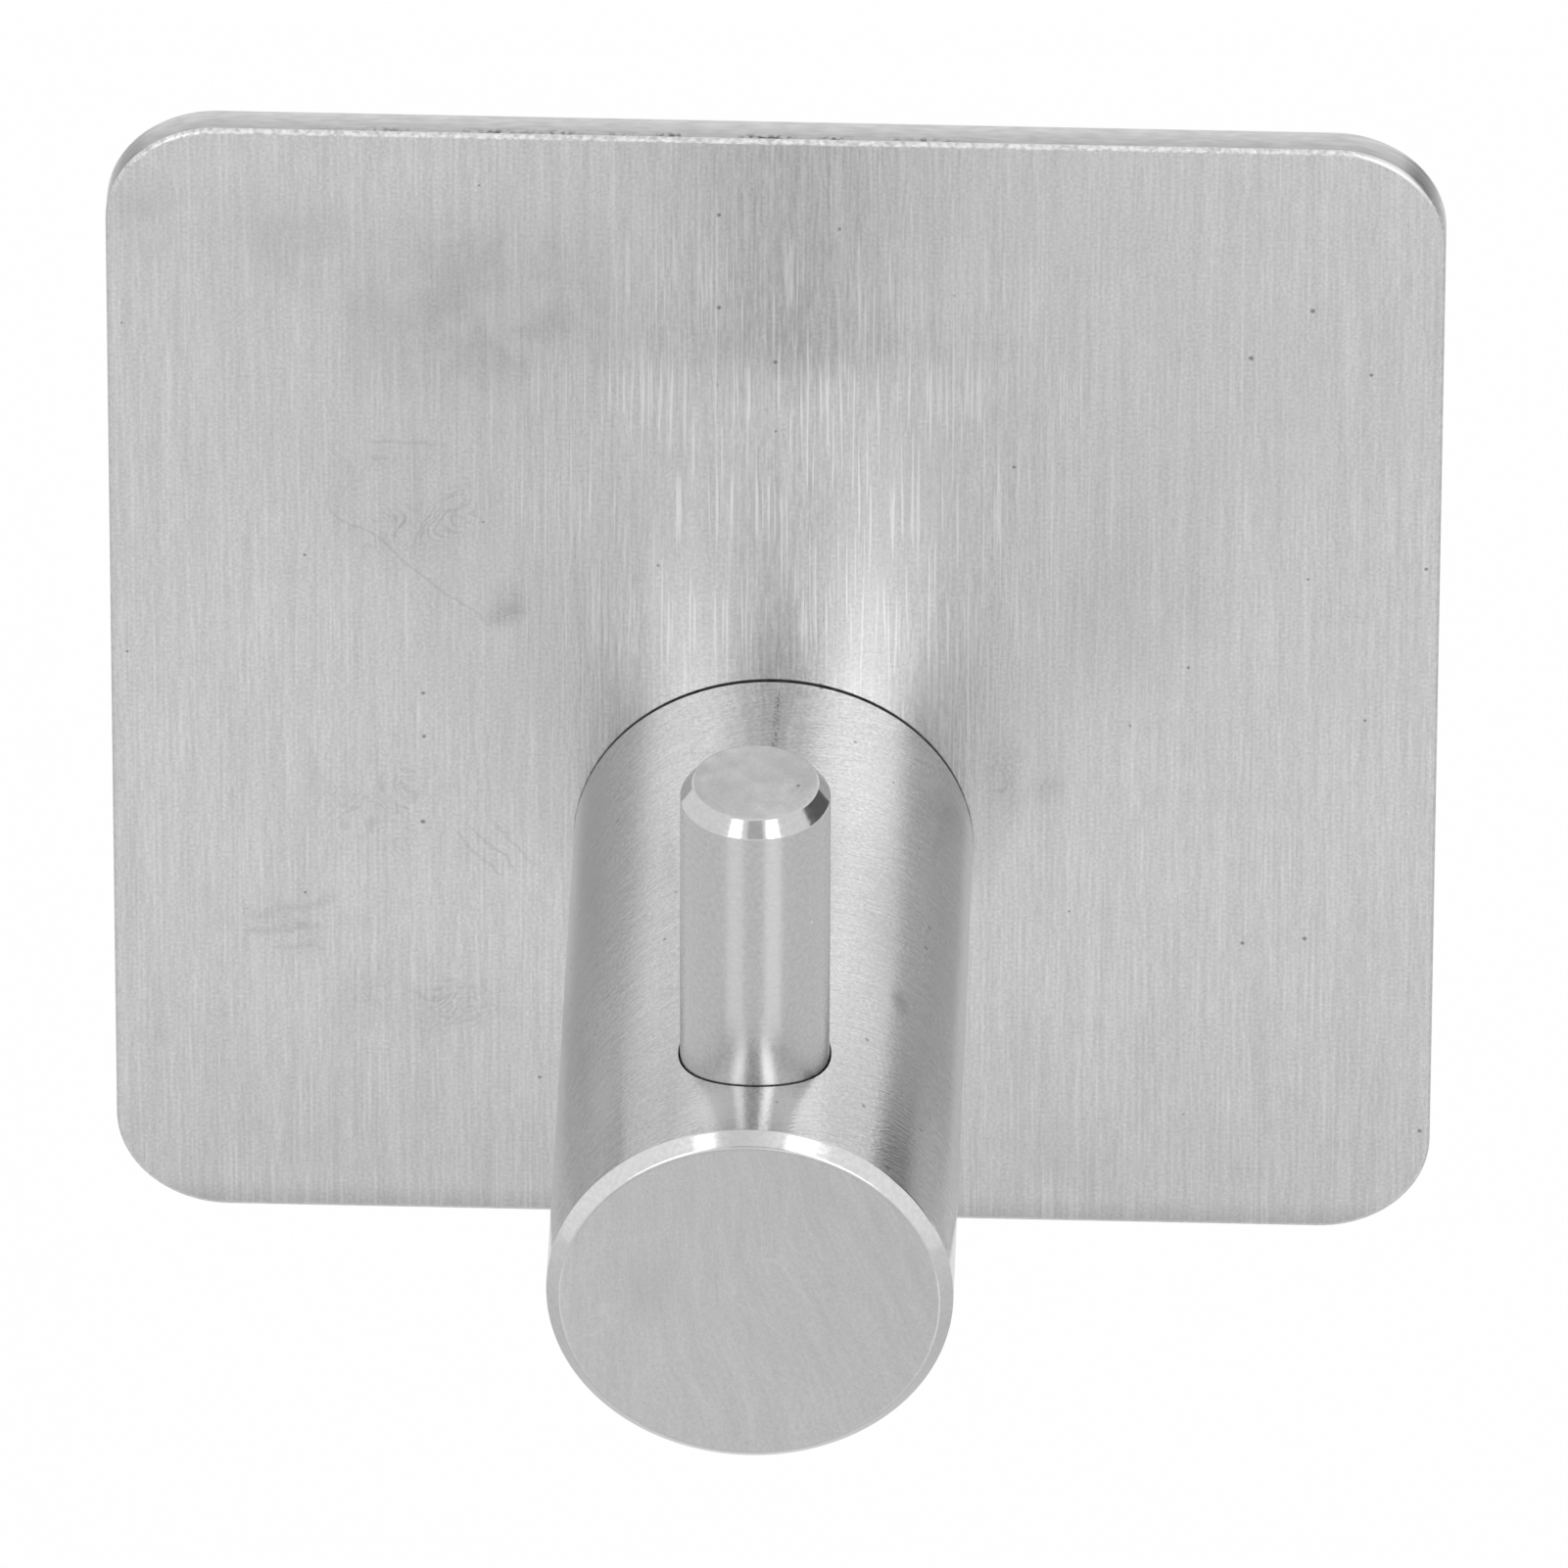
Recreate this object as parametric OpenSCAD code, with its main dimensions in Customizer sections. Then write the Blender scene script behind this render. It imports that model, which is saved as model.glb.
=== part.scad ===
// Adhesive wall hook: a square plate with a round post, a hanging peg and a foam adhesive pad.
// The wall is the plane y = 0 behind the plate's centre, the hook stands out of it along -Y, and +Z is up.

/* [Plate] */
// Width of the plate
plate_w = 45; // [38:0.5:70]
// Height of the plate
plate_h = 45; // [38:0.5:70]
// Thickness of the sheet
plate_t = 1.2; // [0.8:0.1:2]
// Radius of the plate's corners
plate_corner_r = 3.8; // [3:0.1:8]
// Radius of the softened front edge
plate_edge_r = 0.15; // [0.1:0.05:0.4]

/* [Post] */
// Diameter of the post
post_d = 13.6; // [12:0.1:18]
// Length of the post in front of the plate
post_len = 25.9; // [22:0.1:40]
// Distance of the post's axis below the plate's centre
post_drop = 6.6; // [0:0.1:9]
// Chamfer on the post's front rim
post_chamfer = 0.45; // [0.2:0.05:1]
// Edge break round the post's foot
post_foot_break = 0.1; // [0.05:0.05:0.3]

/* [Peg] */
// Diameter of the peg
peg_d = 5; // [3:0.1:6]
// Height of the peg's top above the post
peg_rise = 10.7; // [6:0.1:16]
// Depth of the peg's seat in the post
peg_seat = 9.1; // [6:0.1:10]
// Distance from the post's front face back to the peg's axis
peg_setback = 5.4; // [4.5:0.1:8]
// Chamfer on the peg's ends, measured across
peg_chamfer_w = 0.4; // [0.2:0.05:0.8]
// Chamfer on the peg's ends, measured along the peg
peg_chamfer_l = 0.55; // [0.2:0.05:1]

/* [Fixing screw] */
// Diameter of the screw's shank
screw_d = 3; // [2.5:0.5:4]
// Length of the screw over its head
screw_len = 8; // [6:0.5:10]
// Diameter of the countersunk head
screw_head_d = 5.5; // [5:0.1:7]
// Straight rim of the head, above its cone
screw_rim_t = 0.2; // [0.1:0.05:0.4]
// Chamfer on the screw's tip
screw_tip_chamfer = 0.4; // [0.2:0.1:0.6]
// Width of each arm of the cross recess
recess_w = 0.7; // [0.5:0.1:1]
// Span of the cross recess over two arms
recess_span = 2.8; // [2:0.1:3.5]
// Depth of the cross recess
recess_depth = 1.1; // [0.6:0.1:1.4]
// Run-out of the tapped hole past the screw's tip
tap_runout = 1; // [0.5:0.1:3]

/* [Adhesive pad] */
// Bare margin of the plate round the pad
pad_margin = 1.5; // [1:0.1:2.5]
// Thickness of the foam
foam_t = 0.8; // [0.4:0.1:2]
// Thickness of each adhesive film
adhesive_t = 0.1; // [0.05:0.05:0.3]
// Thickness of the release liner
liner_t = 0.1; // [0.05:0.05:0.2]

/* [Fits] */
// Gap round the peg in its hole
peg_clearance = 0.08; // [0.02:0.02:0.2]
// Gap round the screw in its holes
screw_clearance = 0.05; // [0.02:0.01:0.1]

/* [Hidden] */
$fn = 96;

// Length by which a cut runs past the face that it opens
overrun = 1;
// Point angle of the drill that made the tapped hole
drill_angle = 118;

// Heights of the layers above the wall
wall_adhesive_at = liner_t;
foam_at = wall_adhesive_at + adhesive_t;
plate_adhesive_at = foam_at + foam_t;
plate_back_at = plate_adhesive_at + adhesive_t;
plate_front_at = plate_back_at + plate_t;

// The pad keeps an even margin inside the plate's outline
pad_w = plate_w - 2 * pad_margin;
pad_h = plate_h - 2 * pad_margin;
pad_corner_r = plate_corner_r - pad_margin;

// The peg stands on the floor of its hole, behind the post's front face
post_top = post_d / 2 - post_drop;
peg_out = plate_front_at + post_len - peg_setback;
peg_foot = post_top - peg_seat;
peg_len = peg_seat + peg_rise;
peg_chamfer = [peg_chamfer_w, peg_chamfer_l];

steel = [0.74, 0.74, 0.74];
zinc = [0.62, 0.63, 0.66];
clear_film = [0.85, 0.84, 0.78];
white_foam = [0.93, 0.93, 0.91];
paper = [0.88, 0.83, 0.70];

// Stands a shape drawn on its back up against the wall, raised off it by the given height
module out_of_wall(at) {
    rotate([90, 0, 0])
        translate([0, 0, at])
            children();
}

// The same, on the axis of the post
module on_post_axis(at) {
    out_of_wall(at)
        translate([0, -post_drop, 0])
            children();
}

// Upright on the floor of the peg's hole
module on_peg_axis() {
    translate([0, -peg_out, peg_foot])
        children();
}

module rounded_rectangle(w, h, r) {
    square([w - 2 * r, h], center = true);
    square([w, h - 2 * r], center = true);
    for (x = [-1, 1], y = [-1, 1])
        translate([x * (w / 2 - r), y * (h / 2 - r)])
            circle(r);
}

// Turned bar along Z, with a chamfer at each end given as [across, along]
module turned_bar(d, len, foot, tip) {
    r = d / 2;
    rotate_extrude()
        polygon([
            [0, 0], [r - foot.x, 0], [r, foot.y],
            [r, len - tip.y], [r - tip.x, len], [0, len]
        ]);
}

// Section of the sheet out to its edge, with the front edge softened
module sheet_section(reach) {
    square([reach - plate_edge_r, plate_t]);
    square([reach, plate_t - plate_edge_r]);
    translate([reach - plate_edge_r, plate_t - plate_edge_r])
        circle(plate_edge_r);
}

// Band of the sheet that spans the plate between two softened edges
module sheet_band(half_span, len) {
    rotate([90, 0, 0])
        linear_extrude(len, center = true) {
            sheet_section(half_span);
            mirror([1, 0])
                sheet_section(half_span);
        }
}

module sheet_blank() {
    sheet_band(plate_w / 2, plate_h - 2 * plate_corner_r);
    rotate(90)
        sheet_band(plate_h / 2, plate_w - 2 * plate_corner_r);
    for (x = [-1, 1], y = [-1, 1])
        translate([x * (plate_w / 2 - plate_corner_r), y * (plate_h / 2 - plate_corner_r), 0])
            rotate_extrude()
                sheet_section(plate_corner_r);
}

// Countersunk screw shape, head down, grown by a gap and run past its head by a lead
module screw_shape(gap, len, lead, tip) {
    head_r = screw_head_d / 2 + gap;
    shank_r = screw_d / 2 + gap;
    cone_end = screw_rim_t + head_r - shank_r;
    rotate_extrude()
        polygon([
            [0, -lead], [head_r, -lead], [head_r, screw_rim_t], [shank_r, cone_end],
            [shank_r, len - tip], [shank_r - tip, len], [0, len]
        ]);
}

// Room for the screw: the countersink, the tapped hole and its drill point
module screw_room() {
    bore_r = screw_d / 2 + screw_clearance;
    bore_len = screw_len + tap_runout;
    screw_shape(screw_clearance, bore_len, overrun, 0);
    translate([0, 0, bore_len])
        cylinder(r1 = bore_r, r2 = 0, h = bore_r / tan(drill_angle / 2));
}

module cross_recess() {
    for (turn = [0, 90])
        rotate(turn)
            translate([-recess_span / 2, -recess_w / 2, -overrun])
                cube([recess_span, recess_w, recess_depth + overrun]);
}

module pad_layer(at, thickness) {
    out_of_wall(at)
        linear_extrude(thickness)
            rounded_rectangle(pad_w, pad_h, pad_corner_r);
}

module release_liner() {
    color(paper)
        pad_layer(0, liner_t);
}

module wall_side_adhesive() {
    color(clear_film)
        pad_layer(wall_adhesive_at, adhesive_t);
}

module foam_carrier() {
    color(white_foam)
        pad_layer(foam_at, foam_t);
}

module plate_side_adhesive() {
    color(clear_film)
        pad_layer(plate_adhesive_at, adhesive_t);
}

module backplate() {
    color(steel)
        difference() {
            out_of_wall(plate_back_at)
                sheet_blank();
            on_post_axis(plate_back_at)
                screw_room();
        }
}

module fixing_screw() {
    color(zinc)
        on_post_axis(plate_back_at)
            difference() {
                screw_shape(0, screw_len, 0, screw_tip_chamfer);
                cross_recess();
            }
}

module post() {
    foot = [post_foot_break, post_foot_break];
    rim = [post_chamfer, post_chamfer];
    color(steel)
        difference() {
            on_post_axis(plate_front_at)
                turned_bar(post_d, post_len, foot, rim);
            on_post_axis(plate_back_at)
                screw_room();
            on_peg_axis()
                cylinder(d = peg_d + 2 * peg_clearance, h = peg_len + overrun);
        }
}

module peg() {
    color(steel)
        on_peg_axis()
            turned_bar(peg_d, peg_len, peg_chamfer, peg_chamfer);
}

release_liner();
wall_side_adhesive();
foam_carrier();
plate_side_adhesive();
backplate();
fixing_screw();
post();
peg();
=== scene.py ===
from math import atan2, cos, hypot, pi, radians, sin, tan

import bpy
from mathutils import Euler, Matrix, Vector


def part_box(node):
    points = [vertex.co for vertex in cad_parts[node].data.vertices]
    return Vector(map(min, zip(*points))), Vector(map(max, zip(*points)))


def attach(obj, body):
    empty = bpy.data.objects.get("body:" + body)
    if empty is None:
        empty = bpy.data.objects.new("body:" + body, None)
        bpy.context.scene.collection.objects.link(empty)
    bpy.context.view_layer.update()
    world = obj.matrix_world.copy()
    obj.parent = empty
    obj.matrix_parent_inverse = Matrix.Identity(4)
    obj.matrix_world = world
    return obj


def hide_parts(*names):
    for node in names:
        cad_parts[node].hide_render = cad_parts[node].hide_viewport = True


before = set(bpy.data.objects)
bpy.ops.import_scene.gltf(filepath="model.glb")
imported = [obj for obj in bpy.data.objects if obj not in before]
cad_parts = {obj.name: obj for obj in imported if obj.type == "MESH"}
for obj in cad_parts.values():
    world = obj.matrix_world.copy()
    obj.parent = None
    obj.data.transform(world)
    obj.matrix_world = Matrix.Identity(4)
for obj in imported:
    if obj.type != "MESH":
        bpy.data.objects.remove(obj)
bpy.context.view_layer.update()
mm = 0.001
scene = bpy.context.scene
scene.view_settings.view_transform = "Standard"
print("frame loaded:", len(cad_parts), "CAD nodes")

# Camera
viewpoint = {
    "turn": 1.674,  # degrees to the right of straight on
    "height": 36.149,  # degrees above level
    "roll": 0.175,
    "aim": (0.349, -2.3, -4.13),  # mm, the middle of the picture
    "distance": 1048.6,  # mm
    "lens": 708.5,
    "sensor": 36.0,
    "clip": (0.01, 50),  # m
}
viewTurn = (
    Euler((radians(90 - viewpoint["height"]), 0, radians(viewpoint["turn"]))).to_matrix()
    @ Matrix.Rotation(radians(viewpoint["roll"]), 3, "Z")
)
viewAim = Vector(viewpoint["aim"]) * mm
viewBack = viewTurn @ Vector((0, 0, 1))  # from the hook to the camera


def placeCamera():
    optics = bpy.data.cameras.new("photoCamera")
    optics.lens = viewpoint["lens"]
    optics.sensor_width = viewpoint["sensor"]
    optics.clip_start, optics.clip_end = viewpoint["clip"]
    camera = bpy.data.objects.new("photoCamera", optics)
    scene.collection.objects.link(camera)
    camera.location = viewAim + viewBack * viewpoint["distance"] * mm
    camera.rotation_euler = viewTurn.to_euler()
    scene.camera = camera


placeCamera()
print("camera placed")


# Node helpers
def fillInputs(tree, node, values):
    for key, value in values.items():
        if isinstance(value, bpy.types.NodeSocket):
            tree.links.new(value, node.inputs[key])
        else:
            node.inputs[key].default_value = value


def addNode(tree, kind, values, **settings):
    node = tree.nodes.new("ShaderNode" + kind)
    for name, value in settings.items():
        setattr(node, name, value)
    fillInputs(tree, node, values)
    return node


def newMaterial(name):
    material = bpy.data.materials.new(name)
    material.use_nodes = True
    tree = material.node_tree
    return material, tree, tree.nodes["Principled BSDF"]


def work(tree, operation, *terms, clamp=False):
    node = addNode(tree, "Math", dict(enumerate(terms)), operation=operation, use_clamp=clamp)
    return node.outputs[0]


def times(tree, value, *others):
    for other in others:
        value = work(tree, "MULTIPLY", value, other)
    return value


def blended(tree, first, second, share):
    return work(tree, "MULTIPLY_ADD", first, share, times(tree, second, 1 - share))


def remap(tree, value, fromLow, fromHigh, toLow=0, toHigh=1, kind="LINEAR"):
    values = {"Value": value, "From Min": fromLow, "From Max": fromHigh, "To Min": toLow, "To Max": toHigh}
    return addNode(tree, "MapRange", values, interpolation_type=kind).outputs["Result"]


def ease(tree, value, *ends):
    return remap(tree, value, *ends, kind="SMOOTHSTEP")


def axesOf(tree, vector):
    return addNode(tree, "SeparateXYZ", {0: vector}).outputs


def lengthOf(tree, vector):
    return addNode(tree, "VectorMath", {0: vector}, operation="LENGTH").outputs["Value"]


def mixColour(tree, amount, first, second):
    return addNode(tree, "Mix", {0: amount, 6: first, 7: second}, data_type="RGBA").outputs[2]


def grey(level):
    return (level, level, level, 1.0)


# Studio
studio = {
    "floorDrop": 560,  # mm from the hook's origin down to the floor
    "floorSize": 16,  # m
    "floorShade": 0.95,
    "floorGlow": 0.9,  # share of its own white in what is seen of the floor
    "lampAngle": 28.5,  # degrees to each side of straight on
    "lampReach": 500,  # mm
    # Lamps in pairs, left and right: degrees of width seen from the hook, mm of height from and to, levels
    "lamps": [
        ("stripLamp", (19, 19), (45, 430), (1.15, 1.75)),
        ("topLamp", (9.5, 13), (430, 720), (1.15, 1.75)),
        ("lowLamp", (25, 25), (-540, -290), (0.42, 0.56)),
    ],
    "cardReach": 1250,  # mm, the grey card stands behind the camera
    "cardSize": (440, 520),  # mm
    "cardShade": 0.68,
    "cardRoughness": 0.9,
    "sheetSize": (4000, 3000),  # mm, the pale sheet lies on the floor below and before the hook
    "sheetBack": 600,  # mm
    "sheetLift": 2,  # mm
    "sheetShade": 0.85,
    # Flags stand upright along Y: mm to the right, from and to along Y, from and to in height, shade
    "flags": [
        (260, (-45, 325), (-32, 102), 0.14),
        (265, (215, 480), (-160, 25), 0.62),
        (-265, (215, 480), (-160, 65), 0.5),
    ],
}


def whiteSeen(tree):
    rays = addNode(tree, "LightPath", {}).outputs
    seen = work(tree, "MAXIMUM", rays["Is Camera Ray"], rays["Is Glossy Ray"])
    return work(tree, "MAXIMUM", seen, rays["Is Transmission Ray"])


def layFloor():
    bpy.ops.object.select_all(action="DESELECT")
    bpy.ops.mesh.primitive_plane_add(size=studio["floorSize"], location=(0, 0, -studio["floorDrop"] * mm))
    floor = bpy.context.object
    floor.name = "studioFloor"
    material, tree, shader = newMaterial("floorWhite")
    tree.nodes.remove(shader)
    matt = addNode(tree, "BsdfDiffuse", {"Color": grey(studio["floorShade"])})
    glow = addNode(tree, "Emission", {"Color": grey(1.0), "Strength": 1.0})
    share = times(tree, whiteSeen(tree), studio["floorGlow"])
    both = addNode(tree, "MixShader", {0: share, 1: matt.outputs[0], 2: glow.outputs[0]})
    fillInputs(tree, tree.nodes["Material Output"], {"Surface": both.outputs[0]})
    floor.data.materials.append(material)


def fillWorld():
    world = bpy.data.worlds.new("studioWorld")
    scene.world = world
    world.use_nodes = True
    background = world.node_tree.nodes["Background"]
    fillInputs(world.node_tree, background, {"Color": grey(1.0), "Strength": 1.0})


def hangLamp(name, side, spread, span, level):
    lamp = bpy.data.lights.new(name, "AREA")
    lamp.shape = "RECTANGLE"
    lamp.size = 2 * studio["lampReach"] * mm * tan(radians(spread / 2))
    lamp.size_y = (span[1] - span[0]) * mm
    lamp.energy = level * pi * lamp.size * lamp.size_y
    holder = bpy.data.objects.new(name, lamp)
    scene.collection.objects.link(holder)
    angle = radians(studio["lampAngle"])
    outward = Vector((side * sin(angle), -cos(angle), 0))
    holder.location = outward * studio["lampReach"] * mm + Vector((0, 0, (span[0] + span[1]) / 2 * mm))
    holder.rotation_euler = (-outward).to_track_quat("-Z", "Y").to_euler()


def hangLamps():
    for place, side in enumerate((-1, 1)):
        for name, spreads, span, levels in studio["lamps"]:
            hangLamp(name, side, spreads[place], span, levels[place])


def standCard(name, place, turn, size, shade):
    # Cards are for the reflections only and stay out of the picture
    bpy.ops.object.select_all(action="DESELECT")
    bpy.ops.mesh.primitive_plane_add(size=1, location=place, rotation=turn)
    card = bpy.context.object
    card.name = name
    card.scale = (size[0] * mm, size[1] * mm, 1)
    card.visible_camera = False
    material, tree, matt = newMaterial(name)
    fillInputs(tree, matt, {"Base Color": grey(shade), "Roughness": studio["cardRoughness"]})
    card.data.materials.append(material)


def standCards():
    behind = viewAim + viewBack * studio["cardReach"] * mm
    standCard("greyCard", behind, viewTurn.to_euler(), studio["cardSize"], studio["cardShade"])
    middle = studio["sheetBack"] - studio["sheetSize"][1] / 2
    below = Vector((0, middle, studio["sheetLift"] - studio["floorDrop"])) * mm
    standCard("paleSheet", below, (0, 0, 0), studio["sheetSize"], studio["sheetShade"])
    for right, (near, far), (foot, top), shade in studio["flags"]:
        beside = Vector((right, (near + far) / 2, (foot + top) / 2)) * mm
        standCard("sideFlag", beside, (pi / 2, 0, pi / 2), (far - near, top - foot), shade)


layFloor()
fillWorld()
hangLamps()
standCards()
print("studio set up")

# Modelling helpers
modelling = {
    "slack": 0.002,  # mm, places closer than this count as the same
    "merge": 0.0005,  # mm
    "smooth": 35,  # degrees
    "weight": 80,
}


def startPiece():
    if bpy.context.object and bpy.context.object.mode != "OBJECT":
        bpy.ops.object.mode_set(mode="OBJECT")
    bpy.ops.object.select_all(action="DESELECT")


def bakePlace():
    bpy.ops.object.transform_apply(location=True, rotation=True, scale=True)


def settle(name):
    piece = bpy.context.object
    piece.name = name
    piece.data.name = name
    bakePlace()
    return piece


def holdOnly(piece):
    startPiece()
    piece.select_set(True)
    bpy.context.view_layer.objects.active = piece


def editAll():
    bpy.ops.object.mode_set(mode="EDIT")
    bpy.ops.mesh.select_all(action="SELECT")


def faceOutwards():
    bpy.ops.mesh.select_all(action="SELECT")
    bpy.ops.mesh.normals_make_consistent(inside=False)
    bpy.ops.object.mode_set(mode="OBJECT")


def closeMesh():
    bpy.ops.mesh.select_all(action="SELECT")
    bpy.ops.mesh.remove_doubles(threshold=modelling["merge"] * mm)
    faceOutwards()


def pickEdges(piece, rule):
    holdOnly(piece)
    mesh = piece.data
    for group in (mesh.polygons, mesh.edges, mesh.vertices):
        group.foreach_set("select", [False] * len(group))
    for edge in mesh.edges:
        edge.select = rule(*(mesh.vertices[corner].co for corner in edge.vertices))
    scene.tool_settings.mesh_select_mode = (False, True, False)
    bpy.ops.object.mode_set(mode="EDIT")


def bevelEdges(piece, rule, width, steps):
    pickEdges(piece, rule)
    bpy.ops.mesh.bevel(offset=width * mm, segments=steps, profile=0.5, affect="EDGES")
    bpy.ops.object.mode_set(mode="OBJECT")


def useModifier(piece, kind, **settings):
    holdOnly(piece)
    modifier = piece.modifiers.new(kind.lower(), kind)
    for name, value in settings.items():
        setattr(modifier, name, value)
    bpy.ops.object.modifier_apply(modifier=modifier.name)


def combine(piece, tool, operation="DIFFERENCE"):
    useModifier(piece, "BOOLEAN", object=tool, operation=operation, solver="EXACT")
    holdOnly(tool)
    bpy.ops.object.delete()


def nearly(first, second):
    return abs(first - second) < modelling["slack"] * mm


def onLevel(y):
    # Rule for the edges at one distance from the wall
    return lambda first, second: nearly(first.y, y) and nearly(second.y, y)


def outFrom(start, along, point):
    away = point - start
    return away - along * away.dot(along)


def onRing(start, along, at, radius):
    # Rule for the edges of one ring of a turned bar
    def isOn(point):
        out = outFrom(start, along, point).length
        return nearly((point - start).dot(along), at * mm) and nearly(out, radius * mm)
    return lambda first, second: isOn(first) and isOn(second)


def turnBar(name, start, along, rings, sides):
    # A disc is extruded ring by ring, each ring given as mm along the bar and mm of radius
    startPiece()
    firstAt, firstRadius = rings[0]
    bpy.ops.mesh.primitive_circle_add(
        vertices=sides, radius=firstRadius * mm, fill_type="NGON",
        location=start + along * firstAt * mm, rotation=along.to_track_quat("Z", "Y").to_euler())
    bar = settle(name)
    editAll()
    for (lastAt, lastRadius), (at, radius) in zip(rings, rings[1:]):
        bpy.ops.mesh.extrude_region_move(TRANSFORM_OT_translate={"value": along * (at - lastAt) * mm})
        if radius != lastRadius:
            middle = start + along * at * mm
            bpy.ops.transform.resize(value=(radius / lastRadius,) * 3, center_override=middle)
    closeMesh()
    return bar


def smoothPiece(piece, angle=modelling["smooth"]):
    holdOnly(piece)
    bpy.ops.object.shade_smooth_by_angle(angle=radians(angle))
    useModifier(piece, "WEIGHTED_NORMAL", keep_sharp=True, weight=modelling["weight"])


def layMap(piece, rule):
    mesh = piece.data
    layer = mesh.uv_layers.get("grainMap") or mesh.uv_layers.new(name="grainMap")
    for face in mesh.polygons:
        for loop in face.loop_indices:
            layer.data[loop].uv = rule(mesh.vertices[mesh.loops[loop].vertex_index].co, face)


def dress(piece, materials, rule=lambda face: 0):
    piece.data.materials.clear()
    for material in materials:
        piece.data.materials.append(material)
    for face in piece.data.polygons:
        face.material_index = rule(face)


# Shared surface effects
def openGroup(name, outputs, starts=None):
    # Every group takes a vector, and then values that have a start
    tree = bpy.data.node_groups.new(name, "ShaderNodeTree")
    tree.interface.new_socket("Vector", in_out="INPUT", socket_type="NodeSocketVector")
    for socket, start in (starts or {}).items():
        made = tree.interface.new_socket(socket, in_out="INPUT", socket_type="NodeSocketFloat")
        made.default_value = start
    for socket in outputs:
        tree.interface.new_socket(socket, in_out="OUTPUT", socket_type="NodeSocketFloat")
    return tree, tree.nodes.new("NodeGroupInput").outputs, tree.nodes.new("NodeGroupOutput")


def placeGroup(tree, group, vector, values=None):
    node = tree.nodes.new("ShaderNodeGroup")
    node.node_tree = group
    fillInputs(tree, node, {"Vector": vector, **(values or {})})
    return node.outputs


def scaled(tree, vector, x=1.0, y=1.0, z=1.0, shift=(0, 0, 0), turn=0):
    values = {"Vector": vector, "Location": shift, "Rotation": (0, 0, turn), "Scale": (x, y, z)}
    return addNode(tree, "Mapping", values).outputs["Vector"]


def noise(tree, vector, scale, detail, **settings):
    values = {"Vector": vector, "Scale": scale, "Detail": detail}
    return addNode(tree, "TexNoise", values, **settings).outputs[0]


def flatNoise(tree, place, across, along, detail, shift=(0, 0, 0)):
    vector = scaled(tree, place, across, along, shift=shift)
    return noise(tree, vector, 1.0, detail, noise_dimensions="2D")


def makeBrushGrain():
    # The vector counts lines across in X and strokes along in Y
    tree, given, out = openGroup("brushGrain", ["Lines", "Bands", "Scores"])
    place = given["Vector"]
    drawn = flatNoise(tree, place, across=1.0, along=0.5, detail=1.0)
    broken = flatNoise(tree, place, across=1.2, along=3.0, detail=1.0, shift=(5, 9, 0))
    wide = flatNoise(tree, place, across=0.26, along=0.28, detail=2.0, shift=(3, 2, 0))
    rare = flatNoise(tree, place, across=1.3, along=0.6, detail=0.0, shift=(31, 17, 0))
    lines = blended(tree, drawn, broken, share=0.45)
    fillInputs(tree, out, {
        "Lines": remap(tree, lines, 0.32, 0.68),
        "Bands": remap(tree, wide, 0.25, 0.75),
        "Scores": ease(tree, rare, 0.64, 0.78),
    })
    return tree


def makeSatinGrain():
    # The vector is in mm, and the grains are counted per mm
    tree, given, out = openGroup("satinGrain", ["Tone"], {"Grains": 8.5})
    grains = noise(tree, given["Vector"], given["Grains"], detail=1.0)
    fillInputs(tree, out, {"Tone": remap(tree, grains, 0.3, 0.7)})
    return tree


def makePinSpecks():
    # The vector is in mm of a flat map
    tree, given, out = openGroup("pinSpecks", ["Mask"], {"Density": 1.0, "Share": 0.1, "Size": 0.06})
    values = {"Vector": given["Vector"], "Scale": given["Density"]}
    cells = addNode(tree, "TexVoronoi", values, voronoi_dimensions="2D").outputs
    chance = addNode(tree, "SeparateColor", {"Color": cells["Color"]}).outputs
    uneven = remap(tree, chance["Green"], 0, 1, 0.4, 1.5)
    spread = times(tree, given["Size"], given["Density"], uneven)
    dot = work(tree, "SUBTRACT", 1.0, work(tree, "DIVIDE", cells["Distance"], spread), clamp=True)
    kept = work(tree, "LESS_THAN", chance["Red"], given["Share"])
    fillInputs(tree, out, {"Mask": times(tree, work(tree, "SQRT", dot), kept)})
    return tree


def makeSoftSpot():
    # The vector is one unit from the middle of the spot to its rim
    tree, given, out = openGroup("softSpot", ["Mask"])
    fillInputs(tree, out, {"Mask": ease(tree, lengthOf(tree, given["Vector"]), 0.1, 1.0, 1, 0)})
    return tree


def makeGreaseAndShade():
    # The vector is in mm of a flat map
    tree, given, out = openGroup("greaseAndShade", ["Cloud", "Skin"])
    place = given["Vector"]
    patch = ease(tree, flatNoise(tree, place, across=0.42, along=0.42, detail=4.0), 0.36, 0.6)
    # Broken skin lines follow the level lines of a noise
    values = {"Vector": place, "Scale": 0.55, "Detail": 2.0, "Roughness": 0.7, "Distortion": 0.8}
    level = addNode(tree, "TexNoise", values, noise_dimensions="2D").outputs[0]
    crowding = 55.0
    wave = work(tree, "SINE", times(tree, level, crowding))
    fillInputs(tree, out, {
        "Cloud": remap(tree, patch, 0, 1, 0.5, 1.0),
        "Skin": times(tree, remap(tree, wave, 0.2, 1.0), patch),
    })
    return tree


def makeScratchLine():
    # The scratch runs from 0 to 1 along X, with Y in mm across it
    tree, given, out = openGroup("scratchLine", ["Mask"], {"Width": 0.05})
    axes = axesOf(tree, given["Vector"])
    across = work(tree, "DIVIDE", work(tree, "ABSOLUTE", axes["Y"]), given["Width"])
    line = work(tree, "SUBTRACT", 1.0, across, clamp=True)
    begun = remap(tree, axes["X"], 0.0, 0.08)
    left = remap(tree, axes["X"], 0.85, 1.0, 1, 0)
    fillInputs(tree, out, {"Mask": times(tree, line, begun, left)})
    return tree


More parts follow.
